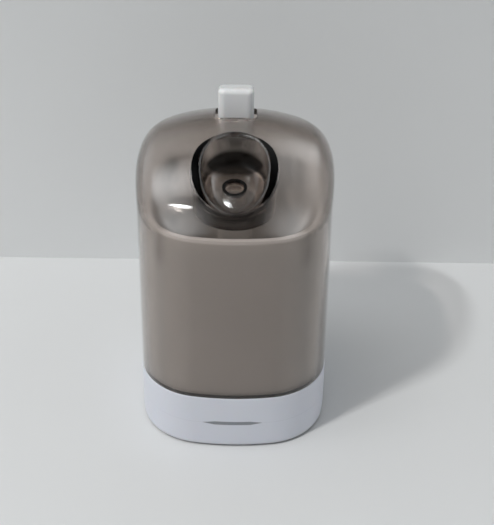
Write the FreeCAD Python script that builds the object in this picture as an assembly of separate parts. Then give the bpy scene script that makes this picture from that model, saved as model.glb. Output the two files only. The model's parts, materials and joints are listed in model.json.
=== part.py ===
import FreeCAD, Part
import math
import os

from FreeCAD import Vector

# Push-button toothpick dispenser, in millimetres.
# Origin: middle of the footprint, on the surface it stands on. +Z up, the finger dish faces -Y.
# Pressing the button pushes a stem down onto one end of a rocker in the base. The rocker's other end
# raises a lifter rod, which pushes one standing pick up through the hole in the finger dish.

# ---- outline in plan: four side arcs and four corner arcs, all tangent ----
half_width = 34.5             # from the centre line to the middle of a side
side_radius = 89.5
corner_radius = 22.9

# ---- base ----
foot_height = 0.8             # how far the feet hold the bottom plate off the table
foot_radius = 4.2
foot_recess = 0.4             # depth of a foot's seat in the plate
foot_margin = 3.6             # from a foot's edge to the skirt's inside, at the corner
foot_edge = 0.25
skirt_bottom = 0.5
base_top = 22.6               # the seam
base_wall = 2.0
base_edge = 1.2               # rounding of the skirt's lower edge
rim_edge = 0.4                # rounding of the seam's edges
plate_thickness = 1.6
deck_thickness = 1.8
deck_drop = 2.4               # from the seam down to the deck
rim_wall = 1.0                # the base's rim, which the cover's tongue drops into

# ---- cover ----
cover_height = 89.2           # from the seam to the top of the roof
cover_wall = 2.1
roof_apex_y = 7.1
roof_long_radius = 49.5       # front to back
roof_cross_radius = 83.6      # side to side
roof_edge_radius = 10.0
seam_gap = 0.3
tongue_depth = 1.9            # how far the cover reaches down inside the base's rim

# ---- finger dish in the roof ----
dish_y = -12.4                # the exit hole and the dish's middle
dish_half_width = 11.2
dish_back = 13.3              # from the middle to the back wall
dish_front = 17.0             # from the middle to the tip of the egg
dish_depth = 9.9              # at the hole, below the roof
dish_tilt = 11.0              # the floor falls towards the front, in degrees
dish_round = 5.5              # between the dish's wall and its floor
dish_rim_round = 1.0
dish_floor = 2.0
collar_radius = 15.0          # the round wall that hangs from the roof around the dish
collar_draft = 1.0            # how much narrower it is at its lower edge
collar_wall = 2.0
hole_radius = 3.2
nozzle_wall = 0.75
nozzle_length = 5.0

# ---- button, stem and spring ----
button_y = 18.8               # the button's middle
button_width = 12.6
button_depth = 13.2
button_height = 17.0          # at its middle
button_reach = 9.55           # above the roof at rest
button_slope = 20.0           # its top falls to the back, in degrees
button_corner = 2.6
button_edge = 1.5
socket_depth = 6.0
slot_end_gap = 1.05
slot_side_gap = 0.4
slot_corner = 2.4
stem_y = 15.45
bar_width = 6.4               # the stem's upper, flat part
bar_depth = 4.0
bar_corner = 0.6
shoulder_radius = 3.9
shoulder_thickness = 2.0
rod_radius = 2.2              # the stem's lower part, and the lifter
spring_length = 23.3
spring_wire = 0.4             # radius
spring_radius = 3.2
spring_turns = 9
washer_thickness = 0.6

# ---- picks, hopper and tower ----
pick_length = 65.0
pick_headroom = 0.2           # above the standing picks, to the collar
hopper_inset = 3.0            # from the outline to the hopper's outside
hopper_wall = 1.6
hopper_floor = 1.6
hopper_lift = 2.3             # from the deck up to the floor's underside
hopper_headroom = 1.4         # from the front rim up to the roof's inside
post_radius = 3.0
post_merge = 0.5              # how far a post runs into the hopper's wall
post_height = 4.5
tower_width = 12.0
tower_depth = 11.0
tower_wall = 1.4
tower_corner = 1.2
tower_foot_width = 21.6
tower_foot_thickness = 2.0
tower_boss_radius = 2.6
tower_boss_height = 5.5
tower_screw_x = 8.2
cap_thickness = 1.6
cap_plug = 2.4
bush_wall = 1.0
bush_flange = 1.3
bush_flange_thickness = 0.8
pick_dimple_radius = 1.4
pick_dimple_depth = 1.0

# ---- rocker ----
rear_arm = 10.55              # from the pivot to the stem, level
lever_end = 2.4               # radius of the rounded ends
cheek_thickness = 1.8
hub_radius = 4.0
hub_half = 4.9
slot_play = 0.4               # spare slot length beyond the cross pin's travel
web_gap = 2.2                 # from the stem to the web between the cheeks
bay_gap = 0.5                 # above and below the rocker at its limits
window_margin = 0.9           # before and behind the rocker in the deck
window_half = 10.0            # the deck's opening for the rocker, to each side
pivot_radius = 1.5
ear_thickness = 1.8
clip_radius = 2.6
clip_thickness = 0.5
pin_end = 0.1                 # the axle beyond its clips
cross_pin_radius = 1.0
tang_half = 1.8
tang_below = 2.4              # the rod below its cross pin
tang_above = 4.7              # the flats above the cross pin

# ---- screws ----
screw_radius = 1.25
screw_head_radius = 2.3
screw_head_height = 1.15
screw_recess = 0.55
recess_length = 2.6
recess_width = 0.55
plate_screw_spot = (13.0, 21.5)
plate_screw_length = 9.0
hopper_screw_length = 9.0
tower_screw_length = 6.0
boss_radius = 3.2
pilot_spare = 0.6             # hole left beyond a screw's tip

# ---- clearances ----
press_gap = 0.02              # pressed and screwed fits
run_gap = 0.08                # running fits
slide_gap = 0.1               # the stem's bar in its guide
move_gap = 0.3                # between moving pieces that only pass each other
pass_gap = 0.3                # a rod or screw through a plain hole

# ---- heights and places that follow ----
side_centre = half_width - side_radius
corner_spread = side_radius - corner_radius
corner_centre = (side_centre + math.sqrt(2 * corner_spread ** 2 - side_centre ** 2)) / 2
foot_spot = corner_centre + (corner_radius - base_wall - foot_margin - foot_radius) / math.sqrt(2)
plate_top = foot_height + plate_thickness
deck_top = base_top - deck_drop
deck_low = deck_top - deck_thickness
cover_bottom = base_top + seam_gap
tongue_bottom = base_top - tongue_depth
floor_low = deck_top + hopper_lift
floor_top = floor_low + hopper_floor
roof_apex_z = base_top + cover_height
roof_axis_z = roof_apex_z - roof_long_radius
collar_bottom = floor_top + pick_length + pick_headroom

front_arm = stem_y - rear_arm - dish_y
pivot_y = stem_y - rear_arm
pin_lowest = plate_top + bay_gap + lever_end
pin_highest = floor_low - bay_gap - lever_end
lift_travel = pin_highest - pin_lowest
pivot_z = (pin_lowest + pin_highest) / 2
tilt = math.atan(lift_travel / 2 / front_arm)
press_travel = lift_travel * rear_arm / front_arm
stem_pin_z = pivot_z + press_travel / 2
lever_front = front_arm / math.cos(tilt) + slot_play
lever_rear = rear_arm / math.cos(tilt) + slot_play
fork_half = tang_half + move_gap
lever_half = fork_half + cheek_thickness
cross_pin_half = lever_half + move_gap
ear_inner = hub_half + move_gap
ear_outer = ear_inner + ear_thickness
post_spot = half_width - hopper_inset - hopper_wall - post_radius + post_merge
lifter_top = floor_top + bush_flange_thickness
shoulder_low = floor_top + washer_thickness + spring_length
far = 3 * half_width          # past everything, for cutting tools


def roof_z(x, y, inset=0.0):
    """Height of the roof, or of the surface lying inset under it."""
    cross = math.sqrt((roof_cross_radius - inset) ** 2 - x ** 2)
    turning = roof_long_radius - roof_cross_radius + cross
    return roof_axis_z + math.sqrt(turning ** 2 - (y - roof_apex_y) ** 2)


hopper_top = roof_z(0, hopper_inset - half_width, cover_wall) - hopper_headroom
dish_floor_z = roof_z(0, dish_y) - dish_depth
button_top = roof_z(0, button_y) + button_reach
button_bottom = button_top - button_height


def outline(inset, z):
    """The plan outline at height z, moved inwards by inset."""
    turn = math.atan2(corner_centre, corner_centre - side_centre)
    quarter = math.pi / 2

    def arc(middle_x, middle_y, radius, angles, facing):
        points = []
        for angle in angles:
            x = middle_x + (radius - inset) * math.sin(angle)
            y = middle_y + (radius - inset) * math.cos(angle)
            cosine, sine = math.cos(facing), math.sin(facing)
            points.append(Vector(x * cosine + y * sine, y * cosine - x * sine, z))
        return Part.Arc(*points).toShape()

    edges = []
    for side in range(4):
        facing = side * quarter
        edges.append(arc(0, side_centre, side_radius, (-turn, 0, turn), facing))
        corner_turns = (turn, quarter / 2, quarter - turn)
        edges.append(arc(corner_centre, corner_centre, corner_radius, corner_turns, facing))
    return Part.Wire(edges)


def prism(inset, low, high):
    """The outline as a solid between two heights."""
    return Part.Face(outline(inset, low)).extrude(Vector(0, 0, high - low))


def cylinder(radius, low, high, x=0.0, y=0.0):
    return Part.makeCylinder(radius, high - low, Vector(x, y, low))


def cross_cylinder(radius, half_length, y, z):
    """A cylinder along X, centred on x = 0."""
    return Part.makeCylinder(radius, 2 * half_length, Vector(-half_length, y, z), Vector(1, 0, 0))


def block(half_x, low_y, high_y, low_z, high_z):
    """A box centred on x = 0."""
    return Part.makeBox(2 * half_x, high_y - low_y, high_z - low_z, Vector(-half_x, low_y, low_z))


def rounded_block(width, depth, low, high, radius, middle_y):
    """An upright block with rounded corners, centred on x = 0 and y = middle_y."""
    body = block(width / 2, middle_y - depth / 2, middle_y + depth / 2, low, high)
    upright = [edge for edge in body.Edges if edge.BoundBox.ZLength > 0.5 * (high - low)]
    return body.makeFillet(radius, upright)


def edges_at(shape, z):
    """Edges that lie level at height z."""
    boxes = [(edge, edge.BoundBox) for edge in shape.Edges]
    return [edge for edge, box in boxes if abs(box.ZMin - z) < 0.01 and abs(box.ZMax - z) < 0.01]


def under_roof(inset):
    """Everything below the roof surface, lowered by inset: an arc across, turned front to back."""
    reach = half_width + cover_wall
    edge_z = roof_z(reach, roof_apex_y, inset)
    corners = [
        Vector(-reach, roof_apex_y, roof_axis_z),
        Vector(-reach, roof_apex_y, edge_z),
        Vector(reach, roof_apex_y, edge_z),
        Vector(reach, roof_apex_y, roof_axis_z),
    ]
    crown = Vector(0, roof_apex_y, roof_apex_z - inset)
    section = Part.Wire([
        Part.makeLine(corners[0], corners[1]),
        Part.Arc(corners[1], crown, corners[2]).toShape(),
        Part.makeLine(corners[2], corners[3]),
        Part.makeLine(corners[3], corners[0]),
    ])
    axis = Vector(0, roof_apex_y, roof_axis_z)
    face = Part.Face(section)
    face.rotate(axis, Vector(1, 0, 0), -90)
    dome = face.revolve(axis, Vector(1, 0, 0), 180)
    return dome.fuse(block(reach, -far, far, -1, roof_axis_z)).removeSplitter()


def domed_prism(inset, low):
    """The outline under the roof, with its upper edge rounded."""
    body = prism(inset, low, roof_apex_z + 1).common(under_roof(inset))
    upper = [edge for edge in body.Edges if edge.BoundBox.ZMin > (base_top + roof_axis_z) / 2]
    return body.makeFillet(roof_edge_radius - inset, upper)


def edges_on(shape, surfaces):
    """Edges that lie on every one of the surfaces."""
    found = []
    for edge in shape.Edges:
        start, end = edge.ParameterRange
        middle = Part.Vertex(edge.valueAt((start + end) / 2))
        if all(surface.distToShape(middle)[0] < 0.01 for surface in surfaces):
            found.append(edge)
    return found


def above_slope(y, z, slope):
    """Everything above a plane through (y, z) that rises to the back by slope degrees."""
    space = block(far, -far, far, 0, far)
    space.rotate(Vector(0, 0, 0), Vector(1, 0, 0), slope)
    space.translate(Vector(0, y, z))
    return space


def above_dish_floor(lowered=0.0):
    """Everything above the dish's sloping floor, moved down by lowered."""
    return above_slope(dish_y, dish_floor_z - lowered, dish_tilt)


def dish_scoop():
    """The egg-shaped hollow of the finger dish, with a rounded bottom."""
    half_eggs = []
    for length, start in ((dish_back, -math.pi / 2), (dish_front, math.pi / 2)):
        middle = Vector(0, dish_y, 0)
        along = Vector(0, length, 0)
        across = Vector(-dish_half_width, 0, 0)
        ellipse = Part.Ellipse(middle + along, middle + across, middle)
        half_eggs.append(Part.ArcOfEllipse(ellipse, start, start + math.pi).toShape())
    egg = Part.Face(Part.Wire(half_eggs)).extrude(Vector(0, 0, roof_apex_z + 1))
    hollow = egg.common(above_dish_floor())
    lower = [edge for edge in hollow.Edges if edge.BoundBox.ZMax < dish_floor_z + dish_round]
    return hollow.makeFillet(dish_round, lower)


def collar_cone(inset, low, high):
    """The collar's drafted outside, moved inwards by inset, between two heights."""
    full = roof_apex_z - collar_bottom

    def radius(z):
        return collar_radius - inset - collar_draft * (roof_apex_z - z) / full

    return Part.makeCone(radius(low), radius(high), high - low, Vector(0, dish_y, low))


def cover():
    outside = domed_prism(0.0, cover_bottom)
    inside = domed_prism(cover_wall, tongue_bottom - 1)
    tongue = prism(rim_wall + move_gap, tongue_bottom, base_top + tongue_depth)
    shell = outside.fuse(tongue).cut(inside)

    collar = collar_cone(0.0, collar_bottom, roof_apex_z).common(outside)
    well = collar_cone(collar_wall, collar_bottom - 1, roof_apex_z).cut(above_dish_floor(dish_floor))
    nozzle_low = dish_floor_z - dish_floor - nozzle_length
    nozzle = cylinder(hole_radius + nozzle_wall, nozzle_low, dish_floor_z - dish_floor / 2, 0, dish_y)
    slot = rounded_block(
        button_width + 2 * slot_end_gap, button_depth + 2 * slot_side_gap,
        button_bottom, button_top, slot_corner, button_y,
    )
    scoop = dish_scoop()
    body = shell.fuse(collar.cut(well)).fuse(nozzle).cut(scoop).removeSplitter()
    body = body.makeFillet(dish_rim_round, edges_on(body, (outside.Shells[0], scoop.Shells[0])))
    body = body.cut(cylinder(hole_radius, collar_bottom, roof_apex_z, 0, dish_y))
    return body.cut(slot).removeSplitter()


def screw(x, y, seat, length, countersunk):
    """A self-tapping screw that points up: its head bears on the face at height seat."""
    shank = cylinder(screw_radius, seat, seat + length, x, y)
    if countersunk:
        head = Part.makeCone(screw_head_radius, screw_radius, screw_head_height, Vector(x, y, seat))
        face = seat
    else:
        face = seat - screw_head_height
        head = cylinder(screw_head_radius, face, seat, x, y)
        head = head.makeFillet(screw_head_height / 3, edges_at(head, face))
    body = head.fuse(shank).removeSplitter()
    for size_x, size_y in ((recess_length, recess_width), (recess_width, recess_length)):
        corner = Vector(x - size_x / 2, y - size_y / 2, face)
        body = body.cut(Part.makeBox(size_x, size_y, screw_recess, corner))
    return body


def four_corners(spot_x, spot_y):
    return [(x, y) for x in (-spot_x, spot_x) for y in (-spot_y, spot_y)]


plate_screws = four_corners(*plate_screw_spot)
foot_places = four_corners(foot_spot, foot_spot)
hopper_screws_at = [(post_spot, 0), (-post_spot, 0), (0, post_spot), (0, -post_spot)]
tower_screws_at = [(tower_screw_x, stem_y), (-tower_screw_x, stem_y)]


def base_shell():
    skirt = prism(0, skirt_bottom, base_top)
    skirt = skirt.makeFillet(base_edge, edges_at(skirt, skirt_bottom))
    skirt = skirt.makeFillet(rim_edge, edges_at(skirt, base_top))
    skirt = skirt.cut(prism(base_wall, skirt_bottom - 1, deck_low))
    skirt = skirt.cut(prism(rim_wall, deck_top, base_top + 1))
    window = block(
        window_half, pivot_y - lever_front - lever_end - window_margin,
        pivot_y + lever_rear + lever_end + window_margin, deck_low - 1, deck_top + 1,
    )
    body = skirt.cut(window)
    tip = plate_top - plate_thickness + plate_screw_length + pilot_spare
    for x, y in plate_screws:
        body = body.fuse(cylinder(boss_radius, plate_top, deck_low, x, y))
        body = body.cut(cylinder(screw_radius + press_gap, plate_top - 1, tip, x, y))
    for x, y in hopper_screws_at:
        body = body.cut(cylinder(screw_radius + pass_gap, deck_low - 1, deck_top + 1, x, y))
    return body.removeSplitter()


def bottom_plate():
    body = prism(base_wall + press_gap, foot_height, plate_top)
    for x, y in foot_places:
        body = body.cut(cylinder(foot_radius + press_gap, 0, foot_height + foot_recess, x, y))
    for x, y in plate_screws:
        face = Vector(x, y, foot_height)
        wide, narrow = screw_head_radius + pass_gap, screw_radius + pass_gap
        sink = Part.makeCone(wide, narrow, screw_head_height, face)
        body = body.cut(sink).cut(cylinder(narrow, 0, plate_top + 1, x, y))
    for side in (-1, 1):
        inner = ear_inner if side > 0 else -ear_outer
        ear = Part.makeBox(
            ear_thickness, 2 * hub_radius, pivot_z - plate_top + 0.1,
            Vector(inner, pivot_y - hub_radius, plate_top - 0.1),
        )
        middle = Vector(inner, pivot_y, pivot_z)
        crown = Part.makeCylinder(hub_radius, ear_thickness, middle, Vector(1, 0, 0))
        body = body.fuse(ear.fuse(crown))
    body = body.cut(cross_cylinder(pivot_radius + press_gap, ear_outer + 1, pivot_y, pivot_z))
    return body.removeSplitter()


def rubber_feet():
    feet = []
    for x, y in foot_places:
        foot = cylinder(foot_radius, 0, foot_height + foot_recess, x, y)
        feet.append(foot.makeFillet(foot_edge, edges_at(foot, 0)))
    return Part.makeCompound(feet)


def hopper():
    body = prism(hopper_inset, deck_top, hopper_top)
    body = body.cut(prism(hopper_inset + hopper_wall, floor_top, hopper_top + 1))
    body = body.cut(prism(hopper_inset + hopper_wall, deck_top - 1, floor_low))
    inner = prism(hopper_inset + hopper_wall / 2, deck_top, hopper_top)
    for x, y in hopper_screws_at:
        body = body.fuse(cylinder(post_radius, deck_top, floor_top + post_height, x, y).common(inner))
    tip = deck_low + hopper_screw_length + pilot_spare
    for x, y in hopper_screws_at:
        body = body.cut(cylinder(screw_radius + press_gap, deck_top - 1, tip, x, y))
    for x, y in tower_screws_at:
        body = body.cut(cylinder(screw_radius + pass_gap, floor_low - 1, floor_top + 1, x, y))
    bush_hole = rod_radius + run_gap + bush_wall + press_gap
    body = body.cut(cylinder(bush_hole, floor_low - 1, floor_top + 1, 0, dish_y))
    body = body.cut(cylinder(rod_radius + pass_gap, floor_low - 1, floor_top + 1, 0, stem_y))
    return body.removeSplitter()


def stem_tower():
    """A square tube on a foot, which keeps the picks off the stem and its spring."""
    foot_top = floor_top + tower_foot_thickness
    body = rounded_block(tower_foot_width, tower_depth, floor_top, foot_top, tower_corner, stem_y)
    body = body.fuse(rounded_block(tower_width, tower_depth, floor_top, hopper_top, tower_corner, stem_y))
    for x, y in tower_screws_at:
        body = body.fuse(cylinder(tower_boss_radius, floor_top, floor_top + tower_boss_height, x, y))
    inner_width = tower_width - 2 * tower_wall
    inner_depth = tower_depth - 2 * tower_wall
    body = body.cut(block(
        inner_width / 2, stem_y - inner_depth / 2, stem_y + inner_depth / 2,
        floor_top - 1, hopper_top + 1,
    ))
    tip = floor_low + tower_screw_length + pilot_spare
    for x, y in tower_screws_at:
        body = body.cut(cylinder(screw_radius + press_gap, floor_top - 1, tip, x, y))
    return body.removeSplitter()


def tower_cap():
    plug_width = tower_width - 2 * (tower_wall + press_gap)
    plug_depth = tower_depth - 2 * (tower_wall + press_gap)
    lid_top = hopper_top + cap_thickness
    body = rounded_block(tower_width, tower_depth, hopper_top, lid_top, tower_corner, stem_y)
    body = body.fuse(block(
        plug_width / 2, stem_y - plug_depth / 2, stem_y + plug_depth / 2,
        hopper_top - cap_plug, hopper_top,
    ))
    guide = rounded_block(
        bar_width + 2 * slide_gap, bar_depth + 2 * slide_gap,
        hopper_top - cap_plug - 1, lid_top + 1, bar_corner, stem_y,
    )
    return body.cut(guide).removeSplitter()


def lifter_bush():
    """A flanged guide for the lifter, pressed into the hopper's floor from above."""
    outer = rod_radius + run_gap + bush_wall
    body = cylinder(outer, floor_low, floor_top, 0, dish_y)
    body = body.fuse(cylinder(outer + bush_flange, floor_top, lifter_top, 0, dish_y))
    bore = cylinder(rod_radius + run_gap, floor_low - 1, lifter_top + 1, 0, dish_y)
    return body.cut(bore).removeSplitter()


def tang(rod, middle_y, pin_z):
    """The rod with two flats at its lower end, and a hole for the cross pin."""
    low = pin_z - tang_below
    for corner_x in (tang_half, -tang_half - rod_radius):
        corner = Vector(corner_x, middle_y - rod_radius, low - 1)
        rod = rod.cut(Part.makeBox(rod_radius, 2 * rod_radius, tang_below + tang_above + 1, corner))
    return rod.cut(cross_cylinder(cross_pin_radius + press_gap, rod_radius, middle_y, pin_z))


def lifter_rod():
    rod = cylinder(rod_radius, pin_lowest - tang_below, lifter_top, 0, dish_y)
    dimple_point = Vector(0, dish_y, lifter_top - pick_dimple_depth)
    dimple = Part.makeCone(0, pick_dimple_radius, pick_dimple_depth, dimple_point)
    return tang(rod.cut(dimple), dish_y, pin_lowest)


def button_stem():
    rod = cylinder(rod_radius, stem_pin_z - tang_below, shoulder_low, 0, stem_y)
    shoulder_top = shoulder_low + shoulder_thickness
    shoulder = cylinder(shoulder_radius, shoulder_low, shoulder_top, 0, stem_y)
    bar_top = button_bottom + socket_depth - press_gap
    bar = rounded_block(bar_width, bar_depth, shoulder_top, bar_top, bar_corner, stem_y)
    return tang(rod, stem_y, stem_pin_z).fuse(shoulder).fuse(bar).removeSplitter()


def push_button():
    """A block whose top falls to the back, much as the roof under it does."""
    rise = button_depth / 2 * math.tan(math.radians(button_slope))
    body = rounded_block(
        button_width, button_depth, button_bottom, button_top + 2 * rise, button_corner, button_y
    )
    body = body.cut(above_slope(button_y, button_top, -button_slope))
    upper = [edge for edge in body.Edges if edge.BoundBox.ZMin > button_top - 2 * rise]
    body = body.makeFillet(button_edge, upper)
    socket = rounded_block(
        bar_width + 2 * press_gap, bar_depth + 2 * press_gap,
        button_bottom - 1, button_bottom + socket_depth, bar_corner, stem_y,
    )
    return body.cut(socket)


def return_spring():
    low = floor_top + washer_thickness + spring_wire
    high = shoulder_low - spring_wire - press_gap
    helix = Part.makeHelix((high - low) / spring_turns, high - low, spring_radius)
    wire = Part.Wire(Part.makeCircle(spring_wire, Vector(spring_radius, 0, 0), Vector(0, 1, 0)))
    coil = Part.Wire(helix.Edges).makePipeShell([wire], True, True)
    coil.translate(Vector(0, stem_y, low))
    return coil


def spring_washer():
    ring = cylinder(shoulder_radius, floor_top, floor_top + washer_thickness, 0, stem_y)
    return ring.cut(cylinder(rod_radius + pass_gap, floor_top - 1, floor_top + 2, 0, stem_y))


def cross_pin(middle_y, z):
    return cross_cylinder(cross_pin_radius, cross_pin_half, middle_y, z)


def rocker_lever():
    """Two cheeks joined at the hub. Each end is a fork with a slot for a cross pin."""
    body = block(lever_half, -lever_front, lever_rear, -lever_end, lever_end)
    for end in (-lever_front, lever_rear):
        body = body.fuse(cross_cylinder(lever_end, lever_half, end, 0))
    front_web = front_arm / 2
    rear_web = rear_arm - rod_radius - web_gap
    body = body.cut(block(fork_half, -far, -front_web, -far, far))
    body = body.cut(block(fork_half, rear_web, far, -far, far))
    body = body.fuse(cross_cylinder(hub_radius, hub_half, 0, 0))
    body = body.cut(cross_cylinder(pivot_radius + run_gap, hub_half + 1, 0, 0))
    slot_radius = cross_pin_radius + move_gap
    for near, away in ((-front_arm, -lever_front), (rear_arm, lever_rear)):
        low, high = sorted((near, away))
        body = body.cut(block(far, low, high, -slot_radius, slot_radius))
        for end in (near, away):
            body = body.cut(cross_cylinder(slot_radius, lever_half + 1, end, 0))
    body = body.removeSplitter()
    body.rotate(Vector(0, 0, 0), Vector(1, 0, 0), math.degrees(tilt))
    body.translate(Vector(0, pivot_y, pivot_z))
    return body


def pivot_pin():
    return cross_cylinder(pivot_radius, ear_outer + press_gap + clip_thickness + pin_end, pivot_y, pivot_z)


def pivot_clips():
    clips = []
    for low_x in (ear_outer + press_gap, -ear_outer - press_gap - clip_thickness):
        middle = Vector(low_x, pivot_y, pivot_z)
        disc = Part.makeCylinder(clip_radius, clip_thickness, middle, Vector(1, 0, 0))
        bore = Part.makeCylinder(pivot_radius + press_gap, clip_thickness, middle, Vector(1, 0, 0))
        clips.append(disc.cut(bore))
    return Part.makeCompound(clips)


pieces = {
    "cover": cover(),
    "base_shell": base_shell(),
    "bottom_plate": bottom_plate(),
    "rubber_feet": rubber_feet(),
    "bottom_screws": Part.makeCompound(
        [screw(x, y, foot_height, plate_screw_length, True) for x, y in plate_screws]
    ),
    "hopper": hopper(),
    "hopper_screws": Part.makeCompound(
        [screw(x, y, deck_low, hopper_screw_length, False) for x, y in hopper_screws_at]
    ),
    "stem_tower": stem_tower(),
    "tower_screws": Part.makeCompound(
        [screw(x, y, floor_low, tower_screw_length, False) for x, y in tower_screws_at]
    ),
    "tower_cap": tower_cap(),
    "lifter_bush": lifter_bush(),
    "spring_washer": spring_washer(),
    "return_spring": return_spring(),
    "push_button": push_button(),
    "button_stem": button_stem(),
    "stem_cross_pin": cross_pin(stem_y, stem_pin_z),
    "rocker_lever": rocker_lever(),
    "pivot_pin": pivot_pin(),
    "pivot_clips": pivot_clips(),
    "lifter_rod": lifter_rod(),
    "lifter_cross_pin": cross_pin(dish_y, pin_lowest),
}

os.makedirs("parts", exist_ok=True)
for name, piece in pieces.items():
    piece.exportStep(f"parts/{name}.step")
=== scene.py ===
import json
import math

import bpy
from mathutils import Matrix, Quaternion, Vector


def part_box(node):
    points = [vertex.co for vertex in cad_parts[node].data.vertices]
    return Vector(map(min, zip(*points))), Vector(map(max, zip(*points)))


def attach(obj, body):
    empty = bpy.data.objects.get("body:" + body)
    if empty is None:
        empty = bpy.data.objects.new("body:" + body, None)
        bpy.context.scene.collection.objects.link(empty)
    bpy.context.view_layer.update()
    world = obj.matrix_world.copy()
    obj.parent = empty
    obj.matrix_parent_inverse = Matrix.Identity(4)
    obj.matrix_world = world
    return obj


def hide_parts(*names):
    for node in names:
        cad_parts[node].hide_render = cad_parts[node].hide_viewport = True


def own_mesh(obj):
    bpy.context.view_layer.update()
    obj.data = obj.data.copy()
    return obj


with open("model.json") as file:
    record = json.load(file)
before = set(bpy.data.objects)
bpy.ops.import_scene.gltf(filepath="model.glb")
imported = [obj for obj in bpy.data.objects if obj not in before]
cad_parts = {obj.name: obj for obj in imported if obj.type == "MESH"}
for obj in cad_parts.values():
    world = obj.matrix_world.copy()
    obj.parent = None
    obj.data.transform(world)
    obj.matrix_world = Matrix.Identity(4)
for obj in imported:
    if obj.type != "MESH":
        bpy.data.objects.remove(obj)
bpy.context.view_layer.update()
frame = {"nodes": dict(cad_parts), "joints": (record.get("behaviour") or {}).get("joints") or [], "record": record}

# Toothpick dispenser: a smoked cover over a white base, a plain hopper and a push-button lift inside.
# Metres throughout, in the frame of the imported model: +Z up, the finger dish faces -Y.

MM = 0.001

base_low, base_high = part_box("base_shell")
button_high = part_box("push_button")[1]
hopper_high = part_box("hopper")[1]


# ---------------------------------------------------------------- node maths

class Signal:
    """A number that varies over a surface or a curve. Arithmetic on it adds Math nodes to its tree."""

    def __init__(self, maker, socket):
        self.maker = maker
        self.socket = socket

    def _math(self, operation, *terms):
        return self.maker.signal("ShaderNodeMath", {"operation": operation}, *terms)

    def __add__(self, other):
        return self._math("ADD", self, other)

    __radd__ = __add__

    def __sub__(self, other):
        return self._math("SUBTRACT", self, other)

    def __rsub__(self, other):
        return self._math("SUBTRACT", other, self)

    def __mul__(self, other):
        return self._math("MULTIPLY", self, other)

    __rmul__ = __mul__

    def __truediv__(self, other):
        return self._math("DIVIDE", self, other)

    def __abs__(self):
        return self._math("ABSOLUTE", self)

    def power(self, exponent):
        return self._math("POWER", self, exponent)

    def larger(self, other):
        return self._math("MAXIMUM", self, other)

    def above(self, level, softness):
        """0 below level, 1 above it, with a soft step that starts and ends softness away from it."""
        ends = {"interpolation_type": "SMOOTHSTEP"}
        return self.maker.signal("ShaderNodeMapRange", ends, self, level - softness, level + softness)

    def below(self, level, softness):
        return 1 - self.above(level, softness)

    def between(self, low, high, softness):
        return self.above(low, softness) * self.below(high, softness)

    def kept_to_one(self):
        return self.maker.signal("ShaderNodeClamp", None, self, 0.0, 1.0)


class Maker:
    """Adds nodes to a tree. Constants sit on the nodes' own sockets."""

    def put(self, socket, value):
        if isinstance(value, Signal):
            value = value.socket
        if isinstance(value, bpy.types.NodeSocket):
            self.tree.links.new(value, socket)
        else:
            socket.default_value = value

    def node(self, kind, settings=None, *values, **named):
        """Adds a node: its settings first, then its inputs in order, or by name."""
        made = self.tree.nodes.new(kind)
        for key, value in (settings or {}).items():
            setattr(made, key, value)
        for index, value in enumerate(values):
            self.put(made.inputs[index], value)
        for key, value in named.items():
            self.put(made.inputs[key.replace("_", " ")], value)
        return made

    def signal(self, kind, settings=None, *values, **named):
        return Signal(self, self.node(kind, settings, *values, **named).outputs[0])

    def dot(self, first, second):
        product = self.node("ShaderNodeVectorMath", {"operation": "DOT_PRODUCT"}, first, second)
        return Signal(self, product.outputs["Value"])

    def scaled(self, vector, by):
        """A vector stretched by its own amount along each axis."""
        return self.node("ShaderNodeVectorMath", {"operation": "MULTIPLY"}, vector, by).outputs[0]

    def split(self, vector):
        """The x, y and z of a vector as signals."""
        return [Signal(self, socket) for socket in self.node("ShaderNodeSeparateXYZ", None, vector).outputs]

    def ray(self, *kinds):
        """1 for light that travels in one of these ways, else 0."""
        way = self.node("ShaderNodeLightPath")
        share = Signal(self, way.outputs[kinds[0]])
        for kind in kinds[1:]:
            share = share + Signal(self, way.outputs[kind])
        return share


def rgb(red, green, blue):
    return (red, green, blue, 1.0)


# ---------------------------------------------------------------- finishes

MIX_FACTOR, MIX_FIRST, MIX_SECOND, MIX_COLOUR = 0, 6, 7, 2      # a Mix node's sockets when it mixes colours
BEVEL_SAMPLES = 6


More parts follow.
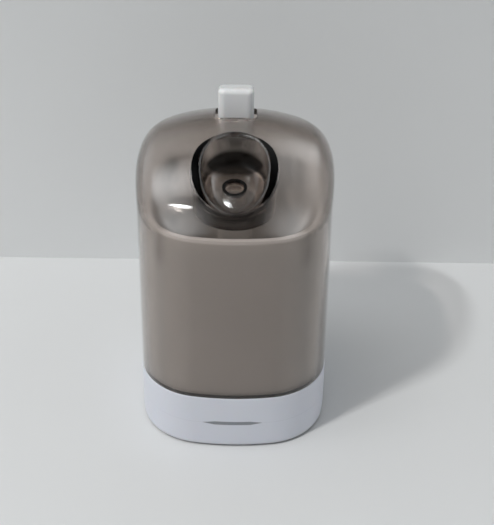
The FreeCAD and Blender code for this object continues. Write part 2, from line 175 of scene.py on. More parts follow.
class Finish(Maker):
    """A material that is built node by node, on Object coordinates in metres."""

    def __init__(self, name):
        self.material = bpy.data.materials.new(name)
        self.material.use_nodes = True
        self.tree = self.material.node_tree
        self.tree.nodes.clear()
        self.end = self.tree.nodes.new("ShaderNodeOutputMaterial")

    def place(self):
        """Object coordinates."""
        return self.node("ShaderNodeTexCoord").outputs["Object"]

    def axes(self):
        """The three Object coordinates as signals."""
        return self.split(self.place())

    def noise(self, size, detail, roughness=0.5, stretch=None, warp=0.0):
        """Noise from 0 to 1 whose blots are about size metres across, longer where stretch is under 1."""
        place = self.scaled(self.place(), stretch) if stretch else self.place()
        return self.signal(
            "ShaderNodeTexNoise", None, Vector=place, Scale=1 / size,
            Detail=detail, Roughness=roughness, Distortion=warp,
        )

    def blend(self, share, first, second):
        """A colour that goes from first to second as share goes from 0 to 1."""
        mixed = self.node("ShaderNodeMix", {"data_type": "RGBA"})
        for index, value in ((MIX_FACTOR, share), (MIX_FIRST, first), (MIX_SECOND, second)):
            self.put(mixed.inputs[index], value)
        return mixed.outputs[MIX_COLOUR]

    def bump(self, height, depth, edge=0.0):
        """A normal from a height signal that is depth metres deep, on edges rounded by edge metres."""
        made = self.node("ShaderNodeBump", None, Strength=1.0, Distance=depth, Height=height)
        if edge:
            rounded = self.node("ShaderNodeBevel", {"samples": BEVEL_SAMPLES}, Radius=edge)
            self.put(made.inputs["Normal"], rounded.outputs[0])
        return made.outputs[0]

    def principled(self, **named):
        return self.node("ShaderNodeBsdfPrincipled", None, **named)

    def mixed(self, share, first, second):
        """A shader that goes from first to second as share goes from 0 to 1."""
        return self.node("ShaderNodeMixShader", None, share, first.outputs[0], second.outputs[0])

    def surface(self, shader):
        """The finished material, with this shader on its surface."""
        self.put(self.end.inputs["Surface"], shader.outputs[0])
        return self.material


# The cover's roof: an arc across, turned front to back about a level axis.
ROOF_APEX_Y = 7.1 * MM
ROOF_AXIS_Z = 62.3 * MM
ROOF_LONG_RADIUS = 49.5 * MM
ROOF_CROSS_RADIUS = 83.6 * MM

# The finger dish: an oval bowl round the exit hole.
DISH_Y = -12.4 * MM            # the hole's middle
DISH_FLOOR = 97.9 * MM         # the floor's height there
DISH_SLOPE = 0.194             # the floor's rise to the back
DISH_HALF_WIDTH = 11.2 * MM
DISH_BACK = 13.3 * MM
DISH_FRONT = 17.0 * MM
DISH_LIP = 1.0 * MM            # rounding of the rim

# Thick rings round the exit hole: inner radius, outer radius and softness.
NOZZLE_RING = (3.0 * MM, 4.3 * MM, 0.12 * MM)
COLLAR_RING = (13.4 * MM, 15.2 * MM, 0.1 * MM)

# The crescents lie between the dish's rim and a line about this far from the hole, further at the sides
# and further still towards the front.
CRESCENT_REACH = 13.9 * MM
CRESCENT_AT_SIDES = 0.75 * MM
CRESCENT_FRONT = -3.0 * MM     # from the hole; in front of it the line moves out
CRESCENT_TO_FRONT = 0.165      # by this share

# Soft steps on the cover: level and softness.
HOLE_STEP = (0.0, 0.01 * MM)                # behind the hole
RIM_STEP = (1.0, 0.012)                     # of the way from the hole to the rim
BOWL_STEP = (-1.0 * MM, 0.5 * MM)           # over the dish's floor
SIDES_STEP = (10.0 * MM, 3.5 * MM)          # from the middle
CRESCENT_STEP = (0.0, 0.12 * MM)            # past the crescents' outer line
OUTER_FACE_STEP = (1.0 * MM, 0.2 * MM)      # under the roof
COLLAR_TOP_STEP = (1.9 * MM, 0.1 * MM)      # under the roof
COLLAR_FRONT_STEP = (-15.0 * MM, 3.0 * MM)  # y
ROUND_BACK_STEP = (-7.0 * MM, 1.8 * MM)     # y
ROUND_TOP_STEP = (4.4 * MM, 1.1 * MM)       # over the dish's floor
BACK_WALL_STEP = (-3.0 * MM, 3.0 * MM)      # y
FRONT_FLOOR_STEP = (-17.5 * MM, 4.0 * MM)   # y
REAR_STEP = (-6.0 * MM, 6.0 * MM)           # y
SIDE_WALL_STEP = (88.0 * MM, 4.0 * MM)      # z
SHOULDER_X_STEP = (24.0 * MM, 6.0 * MM)
SHOULDER_Z_STEP = (88.0 * MM, 6.0 * MM)
LOWER_EDGE_STEP = (0.85 * MM, 0.1 * MM)     # over the base

# Painted shade: how dark each of the cover's places is painted, from 0 to 1, where thick or steep plastic and the
# seam look dark.
PAINTED_SHADE = {
    "crescents": 0.999, "collar": 0.95, "nozzle": 0.997, "lower_round": 0.98,
    "back_wall": 0.88, "front_floor": 0.6, "side_wall": 0.12, "lower_edge": 0.97,
}

SMOKE_DENSITY = 165.0          # absorption per metre of the smoked plastic
SMOKE_TINT = rgb(0.36, 0.29, 0.25)
SMEARED, WIPED = rgb(0.92, 0.91, 0.90), rgb(0.99, 0.985, 0.98)
BLACK = rgb(0.0, 0.0, 0.0)
LET_THROUGH = rgb(0.95, 0.95, 0.95)
COAT_TINT = rgb(1.0, 0.978, 0.962)

POLISHED_HAZE = 0.11           # roughness of the polished front
REAR_HAZE = 0.14               # added at the rear, in the dish and on the shoulders
SMEAR_HAZE = 0.015             # added where it has been touched
TOUCHED_STEP = (0.3, 0.12)
COAT_LOST = 0.99               # where shade is painted on the cover, so that reflections don't lighten it
NOZZLE_COAT_SHARE = 0.9        # of that loss, round the exit hole


def cover_places(f):
    """Masks from 0 to 1 for the places on the cover that look unlike the rest of it, by name: most of them carry
    painted shade, the rest haze.
    """
    x, y, z = f.axes()
    arc = (ROOF_CROSS_RADIUS * ROOF_CROSS_RADIUS - x * x).power(0.5)
    turning = arc + (ROOF_LONG_RADIUS - ROOF_CROSS_RADIUS)
    from_apex = y - ROOF_APEX_Y
    under_roof = (turning * turning - from_apex * from_apex).power(0.5) + ROOF_AXIS_Z - z
    behind = y - DISH_Y
    from_hole = (x * x + behind * behind).power(0.5)
    reach = DISH_FRONT + (DISH_BACK - DISH_FRONT) * behind.above(*HOLE_STEP)
    across, along = x / (DISH_HALF_WIDTH + DISH_LIP), behind / (reach + DISH_LIP)
    beyond_rim = (across * across + along * along).power(0.5).above(*RIM_STEP)
    over_floor = z - DISH_FLOOR - behind * DISH_SLOPE
    dish = (1 - beyond_rim) * over_floor.above(*BOWL_STEP)

    outer_line = CRESCENT_REACH + CRESCENT_AT_SIDES * abs(x).above(*SIDES_STEP)
    outer_line = outer_line + CRESCENT_TO_FRONT * (CRESCENT_FRONT - behind).larger(0.0)
    within_line = (from_hole - outer_line).below(*CRESCENT_STEP)
    ring = from_hole.between(*COLLAR_RING) * under_roof.above(*COLLAR_TOP_STEP)
    return {
        "dish": dish,
        "crescents": beyond_rim * within_line * under_roof.below(*OUTER_FACE_STEP),
        "collar": ring * y.below(*COLLAR_FRONT_STEP) * (1 - dish),
        "nozzle": from_hole.between(*NOZZLE_RING) * dish,
        "lower_round": dish * y.above(*ROUND_BACK_STEP) * over_floor.below(*ROUND_TOP_STEP),
        "back_wall": dish * y.above(*BACK_WALL_STEP),
        "front_floor": dish * y.below(*FRONT_FLOOR_STEP),
        "side_wall": z.below(*SIDE_WALL_STEP),
        "lower_edge": (z - base_high.z).below(*LOWER_EDGE_STEP),
        "rear": y.above(*REAR_STEP),
        "shoulders": abs(x).above(*SHOULDER_X_STEP) * z.above(*SHOULDER_Z_STEP),
    }


def smoked_plastic():
    """Clear smoked plastic. Shade is painted dark on its thick places, in its dish and along its lower edge, and
    its rear and shoulders are a little hazy.
    """
    f = Finish("smoked_plastic")
    places = cover_places(f)
    smear = f.noise(18 * MM, detail=4.0, roughness=0.6, warp=1.2)
    wipe = f.noise(5 * MM, detail=2.0, stretch=(1, 1, 0.15))
    swell = f.noise(40 * MM, detail=1.0)
    # Painted shade: each listed place darkens the cover's colour by its own share.
    first, *others = [1 - shade_depth * places[name] for name, shade_depth in PAINTED_SHADE.items()]
    clear = math.prod(others, start=first)
    hazy = POLISHED_HAZE + REAR_HAZE * places["rear"].larger(places["dish"]).larger(places["shoulders"])
    hazy = hazy + SMEAR_HAZE * (smear * wipe).above(*TOUCHED_STEP)
    uncoated = places["lower_round"].larger(places["crescents"])
    uncoated = uncoated.larger(NOZZLE_COAT_SHARE * places["nozzle"])
    body = f.principled(
        Base_Color=f.blend(clear, BLACK, f.blend(smear, SMEARED, WIPED)), Roughness=hazy, IOR=1.49,
        Transmission_Weight=1.0, Specular_Tint=BLACK,
        Coat_Weight=1 - COAT_LOST * uncoated, Coat_Roughness=0.03, Coat_Tint=COAT_TINT,
        Normal=f.bump(swell, depth=0.004 * MM, edge=0.6 * MM),
    )
    passing = f.node("ShaderNodeBsdfTransparent", None, Color=LET_THROUGH)
    smoke = f.node("ShaderNodeVolumeAbsorption", None, Color=SMOKE_TINT, Density=SMOKE_DENSITY)
    f.put(f.end.inputs["Volume"], smoke.outputs[0])
    return f.surface(f.mixed(f.ray("Is Shadow Ray", "Is Diffuse Ray"), body, passing))


BASE_WHITES = (rgb(0.66, 0.68, 0.75), rgb(0.70, 0.72, 0.785))
BOTTOM_TONE, BOTTOM_TONE_SHARE = rgb(0.45, 0.44, 0.43), 0.35
BOTTOM_TONE_STEP = (1.2 * MM, 1.0 * MM)           # over the base's underside
INK, INK_LEAST = rgb(0.20, 0.21, 0.23), 0.82    # its least cover, where the grain is low
MARK_HALF_LENGTH = 11.0 * MM   # the printed pick on the base's front
MARK_HALF_THICKNESS = 0.75 * MM
MARK_POINT = 4.5 * MM
MARK_HEIGHT = 11.3 * MM
MARK_EDGE_STEP = (0.0, 0.06 * MM)
WHITE_DEPTH = {"Subsurface_Weight": 0.08, "Subsurface_Scale": 2 * MM}


def base_plastic():
    """White moulded plastic with a fine grain, and a small printed pick on the front."""
    f = Finish("base_plastic")
    x, y, z = f.axes()
    cloud = f.noise(14 * MM, detail=3.0)
    grain = f.noise(0.35 * MM, detail=2.0, roughness=0.6)
    # The base is darker towards its bottom edge.
    near_bottom = (z - base_low.z).below(*BOTTOM_TONE_STEP)
    toned = f.blend(near_bottom * BOTTOM_TONE_SHARE, f.blend(cloud, *BASE_WHITES), BOTTOM_TONE)

    to_end = (MARK_HALF_LENGTH - abs(x)) / MARK_POINT
    half = MARK_HALF_THICKNESS * to_end.kept_to_one()
    inked = (half - abs(z - MARK_HEIGHT)).above(*MARK_EDGE_STEP)
    in_front = y.below(0.0, MM)
    return f.surface(f.principled(
        Base_Color=f.blend(inked * in_front * (INK_LEAST + (1 - INK_LEAST) * grain), toned, INK),
        Roughness=0.34 + 0.10 * cloud + 0.08 * grain, IOR=1.5,
        Normal=f.bump(grain, depth=0.012 * MM, edge=0.3 * MM), **WHITE_DEPTH,
    ))


BUTTON_WHITES = (rgb(0.73, 0.74, 0.75), rgb(0.77, 0.78, 0.79))
HANDLED, HANDLED_SHARE = rgb(0.68, 0.68, 0.66), 0.4
HANDLED_STEP = (-1.0 * MM, 0.8 * MM)        # from the button's top


def button_plastic():
    """White polished plastic, a little worn where the finger presses."""
    f = Finish("button_plastic")
    height = f.axes()[2]
    cloud = f.noise(6 * MM, detail=3.0)
    grain = f.noise(0.5 * MM, detail=2.0)
    worn = (height - button_high.z).above(*HANDLED_STEP) * cloud
    return f.surface(f.principled(
        Base_Color=f.blend(worn * HANDLED_SHARE, f.blend(cloud, *BUTTON_WHITES), HANDLED),
        Roughness=0.18 + 0.12 * worn + 0.06 * grain, IOR=1.5,
        Normal=f.bump(cloud, depth=0.01 * MM), **WHITE_DEPTH,
    ))


OUTSIDE_MILK = (rgb(0.575, 0.555, 0.535), rgb(0.625, 0.605, 0.585))
INSIDE_PAINTED_LIGHT = (rgb(0.74, 0.73, 0.72), rgb(0.79, 0.78, 0.77))
RIM_PAINTED_HIGHLIGHT = rgb(0.99, 0.98, 0.97)
TOWER_LOW, TOWER_PAINTED_SHADE = rgb(0.54, 0.53, 0.52), rgb(0.35, 0.33, 0.31)
WALLS_STEP = (26.0 * MM, 2.0 * MM)          # from the middle, across or along
INSIDE_STEP = (0.0, 2.0 * MM)               # of the distance from the middle, along the way the face looks
RIM_TOP_STEP = (-1.2 * MM, 0.5 * MM)        # from the hopper's top
RIM_FRONT_STEP = (-25.0 * MM, 5.0 * MM)     # y
TOWER_SHADE_STEP = (76.0 * MM, 5.0 * MM)          # z, above which the tower is painted darker as painted shade


def hopper_plastic():
    """Milky moulded plastic with faint upright draw marks. Its inside is painted paler as painted light, its front
    rim carries a painted highlight, and its tower is painted darker towards the top as painted shade.
    """
    f = Finish("hopper_plastic")
    x, y, z = f.axes()
    cloud = f.noise(22 * MM, detail=3.0)
    drawn = f.noise(1.4 * MM, detail=2.0, stretch=(1, 1, 0.04))
    facing = f.node("ShaderNodeNewGeometry").outputs["Normal"]
    outwards = f.dot(facing, f.scaled(f.place(), (1, 1, 0)))
    walls = abs(x).larger(abs(y)).above(*WALLS_STEP)
    # Painted light: the inside faces of the walls are painted paler.
    inside = outwards.below(*INSIDE_STEP) * walls
    # Painted highlight: the front part of the rim is painted near white.
    rim = (z - hopper_high.z).above(*RIM_TOP_STEP) * y.below(*RIM_FRONT_STEP)
    # Painted shade: the tower is painted darker towards its top.
    tower = f.blend(z.above(*TOWER_SHADE_STEP), TOWER_LOW, TOWER_PAINTED_SHADE)
    outside = f.blend(walls, tower, f.blend(cloud, *OUTSIDE_MILK))
    body = f.blend(inside, outside, f.blend(cloud, *INSIDE_PAINTED_LIGHT))
    return f.surface(f.principled(
        Base_Color=f.blend(rim, body, RIM_PAINTED_HIGHLIGHT), Roughness=0.42 + 0.12 * drawn, IOR=1.5,
        Normal=f.bump(drawn, depth=0.015 * MM),
        Subsurface_Weight=0.6, Subsurface_Scale=2 * MM, Subsurface_Radius=(1.0, 0.95, 0.9),
    ))


NATURAL_TONES = (rgb(0.68, 0.67, 0.63), rgb(0.76, 0.75, 0.71))
ZINC_TONES = (rgb(0.50, 0.50, 0.51), rgb(0.68, 0.68, 0.67))
RUBBER_TONES = (rgb(0.35, 0.35, 0.35), rgb(0.50, 0.50, 0.49))


def moving_plastic():
    """Natural acetal of the stem, rocker, lifter and bush."""
    f = Finish("moving_plastic")
    cloud = f.noise(8 * MM, detail=3.0)
    grain = f.noise(0.6 * MM, detail=2.0)
    return f.surface(f.principled(
        Base_Color=f.blend(cloud, *NATURAL_TONES), Roughness=0.30 + 0.12 * grain, IOR=1.48,
        Normal=f.bump(grain, depth=0.01 * MM),
    ))


def bright_steel():
    """Zinc-plated steel of the screws, pins, clips, washer and spring."""
    f = Finish("steel")
    cloud = f.noise(1.6 * MM, detail=4.0, roughness=0.65)
    lines = f.noise(0.25 * MM, detail=2.0, stretch=(0.15, 1, 1))
    return f.surface(f.principled(
        Base_Color=f.blend(cloud, *ZINC_TONES), Metallic=1.0, Roughness=0.24 + 0.16 * lines + 0.08 * cloud,
        Normal=f.bump(lines, depth=0.004 * MM),
    ))


def foot_rubber():
    """Matt rubber with dust on it."""
    f = Finish("foot_rubber")
    dust = f.noise(1.8 * MM, detail=4.0, roughness=0.7)
    grain = f.noise(0.3 * MM, detail=2.0)
    return f.surface(f.principled(
        Base_Color=f.blend(dust, *RUBBER_TONES), Roughness=0.75 + 0.15 * grain,
        Normal=f.bump(grain, depth=0.02 * MM),
    ))


finishes = {
    "smoked_plastic": smoked_plastic(),
    "base_plastic": base_plastic(),
    "button_plastic": button_plastic(),
    "hopper_plastic": hopper_plastic(),
    "moving_plastic": moving_plastic(),
    "steel": bright_steel(),
    "foot_rubber": foot_rubber(),
}

for piece in frame["record"]["subparts"]:
    materials = frame["nodes"][piece["node"]].data.materials
    for index in range(len(materials)):
        materials[index] = finishes[piece["material_slot"]]


# ---------------------------------------------------------------- screws, spring and feet

CREASE = math.radians(35)      # edges sharper than this stay crisp


class Recipe(Maker):
    """A Geometry Nodes tree with a named input for each size, turned into one plain mesh."""

    def __init__(self, name, **sizes):
        self.tree = bpy.data.node_groups.new(name, "GeometryNodeTree")
        self.given = {}
        for label, value in sizes.items():
            kind = "NodeSocketInt" if isinstance(value, int) else "NodeSocketFloat"
            socket = self.tree.interface.new_socket(label, in_out="INPUT", socket_type=kind)
            self.given[socket.identifier] = value
        self.tree.interface.new_socket("mesh", in_out="OUTPUT", socket_type="NodeSocketGeometry")
        start = self.tree.nodes.new("NodeGroupInput")
        self.size = {label: Signal(self, start.outputs[label]) for label in sizes}

    def form(self, kind, settings=None, *values, **named):
        return self.node(kind, settings, *values, **named).outputs[0]

    def at(self, x=0.0, y=0.0, z=0.0):
        """A vector."""
        return self.form("ShaderNodeCombineXYZ", None, x, y, z)

    def moved(self, form, x=0.0, y=0.0, z=0.0):
        return self.form("GeometryNodeTransform", None, Geometry=form, Translation=self.at(x, y, z))

    def joined(self, *forms):
        made = self.node("GeometryNodeJoinGeometry")
        for form in forms:
            self.put(made.inputs[0], form)
        return made.outputs[0]

    def spot(self):
        """Where each point is: x, y and z as signals."""
        return self.split(self.form("GeometryNodeInputPosition"))

    def placed(self, form, x, y, z):
        """The form with every point put at x, y, z."""
        return self.form("GeometryNodeSetPosition", None, Geometry=form, Position=self.at(x, y, z))

    def rod(self, radius, low, high, sides, rings=1, rounds=1):
        """An upright rod. Rings divide its side, and rounds its end faces."""
        made = self.form(
            "GeometryNodeMeshCylinder", {"fill_type": "TRIANGLE_FAN"}, Vertices=sides, Side_Segments=rings,
            Fill_Segments=rounds, Radius=radius, Depth=high - low,
        )
        return self.moved(made, z=(low + high) / 2)

    def spiral(self, turns, radius, height, steps):
        """A rising spiral of one radius, with this many steps to a turn."""
        return self.form(
            "GeometryNodeCurveSpiral", None, Resolution=steps, Rotations=turns, Start_Radius=radius,
            End_Radius=radius, Height=height,
        )

    def ring(self, radius, sides):
        """A level circle about the middle."""
        return self.form("GeometryNodeCurvePrimitiveCircle", None, Resolution=sides, Radius=radius)

    def tube(self, path, radius, sides):
        """A round tube along a path, closed at its ends."""
        outline = self.ring(radius, sides)
        return self.form("GeometryNodeCurveToMesh", None, Curve=path, Profile_Curve=outline, Fill_Caps=True)

    def four_corners(self, half_width, half_depth):
        """A point at each corner of a level rectangle."""
        return self.form(
            "GeometryNodeMeshGrid", None, Size_X=2 * half_width, Size_Y=2 * half_depth,
            Vertices_X=2, Vertices_Y=2,
        )

    def repeated(self, form, points, seed):
        """The form on every point, each turned about +Z by a fixed random angle."""
        turn = self.form(
            "FunctionNodeRandomValue", {"data_type": "FLOAT_VECTOR"},
            (0, 0, -math.pi), (0, 0, math.pi), Seed=seed,
        )
        return self.form("GeometryNodeInstanceOnPoints", None, Points=points, Instance=form, Rotation=turn)

    def piece(self, form, name, stands_for, finish):
        """The finished piece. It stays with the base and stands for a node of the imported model."""
        smooth = self.form("GeometryNodeSetShadeSmooth", None, form)
        whole = self.form("GeometryNodeRealizeInstances", None, smooth)
        coated = self.form("GeometryNodeSetMaterial", None, Geometry=whole, Material=finishes[finish])
        self.put(self.tree.nodes.new("NodeGroupOutput").inputs[0], coated)
        made = bpy.data.objects.new(name, bpy.data.meshes.new(name))
        bpy.context.scene.collection.objects.link(made)
        modifier = made.modifiers.new(name, "NODES")
        modifier.node_group = self.tree
        for identifier, value in self.given.items():
            modifier[identifier] = value
        evaluated = made.evaluated_get(bpy.context.evaluated_depsgraph_get())
        mesh = bpy.data.meshes.new_from_object(evaluated)
        made.modifiers.remove(modifier)
        made.data = mesh
        mesh.materials.clear()
        mesh.materials.append(finishes[finish])
        mesh.polygons.foreach_set("material_index", [0] * len(mesh.polygons))
        mesh.set_sharp_from_angle(angle=CREASE)
        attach(made, "base")
        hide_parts(stands_for)
        return made


HEAD_RADIUS = 2.3 * MM
HEAD_HEIGHT = 1.15 * MM
CREST_RADIUS = 1.25 * MM
CORE_RADIUS = 1.0 * MM
THREAD_PITCH = 0.9 * MM

CONE_FROM = 0.12               # share of a countersunk head's height that is an upright edge
PAN_DRAWN_IN = 0.16            # share of a pan head's radius that its rounded edge takes
PAN_CROWN = 0.13               # how much of its radius a pan head sinks at its edge
RECESS_LENGTH = 2.6 * MM
RECESS_WIDTH = 0.55 * MM
RECESS_DEPTH = 1.1 * RECESS_WIDTH
SHANK_FROM = 0.9               # share of the head's height at which the shank starts
TIP_LENGTH = 1.6 * MM          # the shank's taper
TIP_TAPER = 0.7                # share of the radius that it takes off
THREAD_FROM = 0.1 * MM         # under the head
THREAD_SHORT_BY = 1.4 * MM     # of the shank's length


def screw_head(recipe, countersunk):
    """A head whose face is at z = 0, with a cross recess in it."""
    radius, height = recipe.size["head radius"], recipe.size["head height"]
    blank = recipe.rod(radius, 0.0, height, sides=40, rings=9, rounds=4)
    x, y, z = recipe.spot()
    up = z / height
    if countersunk:
        cone = ((up - CONE_FROM) / (1 - CONE_FROM)).kept_to_one()
        share = 1 - (1 - recipe.size["crest radius"] / radius) * cone
        lifted = z
    else:
        rounding = 1 - (3 * up).kept_to_one()       # over the first third of the height
        share = 1 - PAN_DRAWN_IN * (1 - (1 - rounding * rounding).power(0.5))
        lifted = z + PAN_CROWN * (1 - up) * (x * x + y * y) / radius
    blank = recipe.placed(blank, x * share, y * share, lifted)
    cut = recipe.node("GeometryNodeMeshBoolean", {"operation": "DIFFERENCE", "solver": "EXACT"})
    recipe.put(cut.inputs["Mesh 1"], blank)
    for wide, deep in ((RECESS_LENGTH, RECESS_WIDTH), (RECESS_WIDTH, RECESS_LENGTH)):
        slot = recipe.form("GeometryNodeMeshCube", None, Size=(wide, deep, 2 * RECESS_DEPTH))
        recipe.put(cut.inputs["Mesh 2"], slot)
    return cut.outputs[0]


def screw(recipe, countersunk):
    """One screw that points up from z = 0: its head, its tapered shank and its thread."""
    size = recipe.size
    height, length = size["head height"], size["length"]
    crest, core = size["crest radius"], size["core radius"]
    head = screw_head(recipe, countersunk)
    shank = recipe.rod(core, height * SHANK_FROM, length, sides=24, rings=14)
    x, y, z = recipe.spot()
    share = 1 - TIP_TAPER * ((z - length) / TIP_LENGTH + 1).kept_to_one()
    shank = recipe.placed(shank, x * share, y * share, z)
    run = length - height - THREAD_SHORT_BY
    path = recipe.spiral(run / size["pitch"], core, run, steps=28)
    thread = recipe.moved(recipe.tube(path, crest - core, sides=6), z=height + THREAD_FROM)
    return recipe.joined(head, shank, thread)


def screws(name, stands_for, length, countersunk, seed, layout):
    """Like screws on a grid of four, a circle of four or a line of two."""
    low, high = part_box(stands_for)
    recipe = Recipe(name, **{
        "head radius": HEAD_RADIUS, "head height": HEAD_HEIGHT, "crest radius": CREST_RADIUS,
        "core radius": CORE_RADIUS, "pitch": THREAD_PITCH, "length": length, "face": low.z,
        "half width": (high.x - low.x) / 2 - HEAD_RADIUS,
        "half depth": (high.y - low.y) / 2 - HEAD_RADIUS,
        "middle": (low.y + high.y) / 2,
    })
    size = recipe.size
    one = screw(recipe, countersunk)
    half_width = size["half width"]
    if layout == "grid":
        points = recipe.four_corners(half_width, size["half depth"])
    elif layout == "circle":
        points = recipe.form("GeometryNodeMeshCircle", None, Vertices=4, Radius=half_width)
    else:
        first, step = recipe.at(0 - half_width), recipe.at(2 * half_width)
        points = recipe.form("GeometryNodeMeshLine", None, Count=2, Start_Location=first, Offset=step)
    points = recipe.moved(points, y=size["middle"], z=size["face"])
    recipe.piece(recipe.repeated(one, points, seed), name, stands_for, "steel")


SPRING_TURNS = 11
SPRING_WIRE = 0.4 * MM         # radius
SHARE_OF_TURNS = 1.0           # height of the first spiral, so that its z is the share of its turns
CLOSED_PITCH = 2.04            # of the wire's radius, where a turn lies on its neighbour


def coil_spring():
    """A compression spring with a closed turn and a ground face at each end."""
    low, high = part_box("return_spring")
    recipe = Recipe("coil_spring", **{
        "turns": SPRING_TURNS, "wire radius": SPRING_WIRE,
        "coil radius": (high.x - low.x) / 2 - SPRING_WIRE,
        "bottom": low.z, "top": high.z, "middle": (low.y + high.y) / 2,
    })
    size = recipe.size
    turns, wire = size["turns"], size["wire radius"]
    path = recipe.spiral(turns, size["coil radius"], SHARE_OF_TURNS, steps=40)
    x, y, turned = recipe.spot()
    at_turn = turned * turns
    closed = CLOSED_PITCH * wire
    active = (size["top"] - size["bottom"] - wire - 2 * closed) / (turns - 2)
    first = at_turn.kept_to_one() * closed
    last = (at_turn - turns + 1).kept_to_one() * closed
    between = ((at_turn - 1) / (turns - 2)).kept_to_one() * (turns - 2) * active
    path = recipe.placed(path, x, y, first + between + last + size["bottom"] + wire / 2)
    coil = recipe.tube(path, wire, sides=14)
    x, y, z = recipe.spot()
    ground = recipe.signal("ShaderNodeClamp", None, z, size["bottom"], size["top"])
    coil = recipe.moved(recipe.placed(coil, x, y, ground), y=size["middle"])
    made = recipe.piece(coil, "coil_spring", "return_spring", "steel")
    press = next(joint for joint in frame["joints"] if joint["name"] == "button_press")
    travel = press["range_m"][1]
    keep = 1 - travel / (high.z - low.z)
    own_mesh(made)


FOOT_RADIUS = 4.2 * MM
RIB_RADIUS = 0.3 * MM
RIB_SHARES = (1.0, 0.68, 0.36)              # of the outermost rib's radius
UNDERSIDE = (0.4, 1.2)                      # lowest and highest of the face between the ribs, in rib radii
FOOT_SIDES = 56


def ribbed_feet():
    """Four moulded rubber feet with three ring-shaped ribs each."""
    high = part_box("rubber_feet")[1]
    recipe = Recipe("ribbed_feet", **{
        "foot radius": FOOT_RADIUS, "foot height": high.z, "rib radius": RIB_RADIUS,
        "place": high.x - FOOT_RADIUS,
    })
    size = recipe.size
    radius, rib, place = size["foot radius"], size["rib radius"], size["place"]
    inner = radius - rib
    face_low, face_high = UNDERSIDE
    parts = [
        recipe.rod(radius, rib, size["foot height"], sides=FOOT_SIDES),
        recipe.rod(inner, face_low * rib, face_high * rib, sides=FOOT_SIDES),
    ]
    for share in RIB_SHARES:
        path = recipe.ring(inner * share, FOOT_SIDES)
        parts.append(recipe.moved(recipe.tube(path, rib, sides=12), z=rib))
    feet = recipe.repeated(recipe.joined(*parts), recipe.four_corners(place, place), seed=2)
    recipe.piece(feet, "ribbed_feet", "rubber_feet", "foot_rubber")


screws("countersunk_screws", "bottom_screws", length=9.0 * MM, countersunk=True, seed=3, layout="grid")
screws("deck_pan_screws", "hopper_screws", length=10.15 * MM, countersunk=False, seed=5, layout="circle")
screws("tower_pan_screws", "tower_screws", length=7.15 * MM, countersunk=False, seed=8, layout="line")
coil_spring()
ribbed_feet()


# ---------------------------------------------------------------- floor, wall, light and camera

REACH = 3.0                    # of the tabletop and the wall
WALL_Y = 87 * MM               # behind the object's middle
TABLETOP_TONES = (rgb(0.67, 0.68, 0.685), rgb(0.70, 0.71, 0.715))
WALL_TONES = (rgb(0.79, 0.805, 0.81), rgb(0.83, 0.84, 0.845))
WALL_PAINTED_SHADE = rgb(0.61, 0.62, 0.625)
WALL_SHADE_STEP = (0.14, 0.14)                    # z, above which painted shade makes the wall darker
WALL_REFLECTED_STEP = (0.125, 0.02)         # z, above which reflections pass the wall


def tabletop_finish():
    """A pale tabletop with a low gloss."""
    f = Finish("pale_tabletop")
    cloud = f.noise(120 * MM, detail=3.0)
    grain = f.noise(2 * MM, detail=2.0)
    return f.surface(f.principled(
        Base_Color=f.blend(cloud, *TABLETOP_TONES), Roughness=0.34 + 0.06 * grain, IOR=1.4,
        Normal=f.bump(grain, depth=0.01 * MM),
    ))


def wall_finish():
    """A pale wall that shows from its front only, so that the object can be seen from behind. Higher up it is
    painted darker, as painted shade.
    """
    f = Finish("pale_wall")
    cloud = f.noise(160 * MM, detail=2.0)
    height = f.axes()[2]
    # Painted shade: the wall is painted darker higher up.
    tone = f.blend(height.above(*WALL_SHADE_STEP), f.blend(cloud, *WALL_TONES), WALL_PAINTED_SHADE)
    front = f.principled(Base_Color=tone, Roughness=0.8)
    away = f.node("ShaderNodeBsdfTransparent")
    passed = height.above(*WALL_REFLECTED_STEP) * f.ray("Is Glossy Ray")
    behind = Signal(f, f.node("ShaderNodeNewGeometry").outputs["Backfacing"]).larger(passed)
    return f.surface(f.mixed(behind, front, away))


def sheet(name, corners, finish):
    """A flat part of the stage."""
    mesh = bpy.data.meshes.new(name)
    mesh.from_pydata(corners, [], [tuple(range(len(corners)))])
    mesh.materials.append(finish)
    made = bpy.data.objects.new(name, mesh)
    bpy.context.scene.collection.objects.link(made)


tabletop = [(-REACH, -REACH, 0), (REACH, -REACH, 0), (REACH, REACH, 0), (-REACH, REACH, 0)]
wall = [(-REACH, WALL_Y, 0), (REACH, WALL_Y, 0), (REACH, WALL_Y, REACH), (-REACH, WALL_Y, REACH)]
sheet("tabletop", tabletop, tabletop_finish())
sheet("wall", wall, wall_finish())

LIT_POINT = Vector((0, 0, 60 * MM))         # the lights are aimed at the object's middle


def area_light(name, direction, distance, width, height, power, colour):
    """A light that shines at the object from a direction, its width level. Reflections don't show it."""
    data = bpy.data.lights.new(name, "AREA")
    data.shape = "RECTANGLE"
    data.size = width
    data.size_y = height
    data.energy = power
    data.color = colour
    lamp = bpy.data.objects.new(name, data)
    bpy.context.scene.collection.objects.link(lamp)
    lamp.location = LIT_POINT + Vector(direction).normalized() * distance
    lamp.rotation_euler = (LIT_POINT - lamp.location).to_track_quat("-Z", "Y").to_euler()
    lamp.visible_glossy = False


FOCAL_PX, FRAME_HEIGHT_PX = 1360.0, 525.0   # the focal length, in pixels of a frame this high
SENSOR = 36.0                  # mm
CAMERA_PLACE = Vector((4.81, -407.86, 338.16)) * MM
CAMERA_PITCH, CAMERA_YAW, CAMERA_ROLL = 55.56, 0.04, 0.74       # degrees; pitch 0 looks straight down


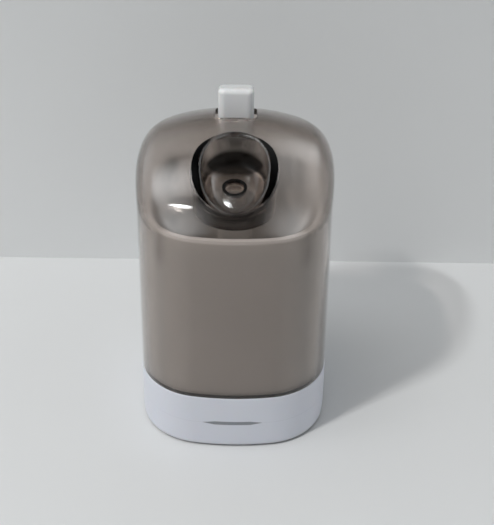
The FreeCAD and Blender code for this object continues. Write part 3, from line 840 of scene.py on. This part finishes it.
def camera():
    """From the front, a touch to the right and about 34 degrees down."""
    data = bpy.data.cameras.new("camera")
    data.sensor_width = SENSOR
    data.lens = SENSOR * FOCAL_PX / FRAME_HEIGHT_PX
    data.clip_start = 0.01
    data.clip_end = 20.0
    made = bpy.data.objects.new("camera", data)
    bpy.context.scene.collection.objects.link(made)
    pitch = Matrix.Rotation(math.radians(CAMERA_PITCH), 4, "X")
    yaw = Matrix.Rotation(math.radians(CAMERA_YAW), 4, "Z")
    roll = Matrix.Rotation(math.radians(CAMERA_ROLL), 4, "Z")
    made.matrix_world = Matrix.Translation(CAMERA_PLACE) @ yaw @ pitch @ roll
    bpy.context.scene.camera = made


class Room(Maker):
    """Light from all round: a dim room, brighter to both sides, with a few soft glows in reflections."""

    def __init__(self, name, dim, beside, tint, glows):
        self.world = bpy.data.worlds.new(name)
        self.world.use_nodes = True
        self.tree = self.world.node_tree
        facing = self.node("ShaderNodeTexCoord").outputs["Generated"]
        across = self.split(facing)[0]
        strength = dim + beside * across * across
        mirrored = self.ray("Is Glossy Ray")
        for direction, half_width, half_height, turn, power in glows:
            aim = Vector(direction).normalized()
            level = aim.cross(Vector((0, 0, 1))).normalized()
            level.rotate(Quaternion(aim, math.radians(turn)))
            wide = self.dot(facing, level) / half_width
            high = self.dot(facing, level.cross(aim)) / half_height
            ahead = self.dot(facing, aim).above(0.0, 0.01)
            bell = (1 - wide * wide - high * high).kept_to_one() * ahead
            strength = strength + power * mirrored * bell * bell
        shade = self.tree.nodes["Background"]
        self.put(shade.inputs["Strength"], strength)
        self.put(shade.inputs["Color"], tint)


# Each glow: direction, half-width and half-height as sines of an angle, turn in degrees, strength.
GLOWS = [
    ((-0.445, -0.36, 0.818), 0.13, 0.026, 22, 82.0),        # the narrow streak on the roof's left
    ((-0.56, 0.0, 0.83), 0.42, 0.42, 0, 5.2),               # high on the left
    ((0.50, -0.06, 0.86), 0.6, 0.6, 0, 0.7),                # high on the right
    ((0.42, 0.42, 0.80), 0.6, 0.6, 0, 1.3),                 # high at the back, right
    ((-0.56, -0.60, 0.58), 0.42, 0.55, 0, 3.9),             # in front, left
    ((0.60, -0.60, 0.54), 0.42, 0.55, 0, 3.6),              # in front, right
    ((-0.72, 0.48, 0.50), 0.7, 0.7, 0, 1.2),                # at the back, left
    ((0.46, 0.59, 0.66), 0.32, 0.32, 0, 1.6),               # at the back, right
    ((-0.0165, 0.587, 0.8095), 0.0045, 0.0035, 0, 60.0),    # the small highlight in the dish
]

area_light(
    "key_light", direction=(-0.472, -0.383, 0.794), distance=1.6, width=0.13, height=0.04, power=11.2,
    colour=(1.0, 0.985, 0.96),
)
area_light(
    "ceiling_light", direction=(-0.18, 0.04, 1.0), distance=1.8, width=1.2, height=1.2, power=16.2,
    colour=(0.98, 0.99, 1.0),
)
camera()

scene = bpy.context.scene
scene.world = Room("room", dim=0.075, beside=0.93, tint=rgb(0.95, 0.98, 1.0), glows=GLOWS).world
scene.view_settings.view_transform = "Standard"
scene.cycles.use_denoising = True
scene.cycles.max_bounces = 16
scene.cycles.transmission_bounces = 16
scene.cycles.transparent_max_bounces = 16
scene.cycles.caustics_refractive = False
scene.cycles.caustics_reflective = False
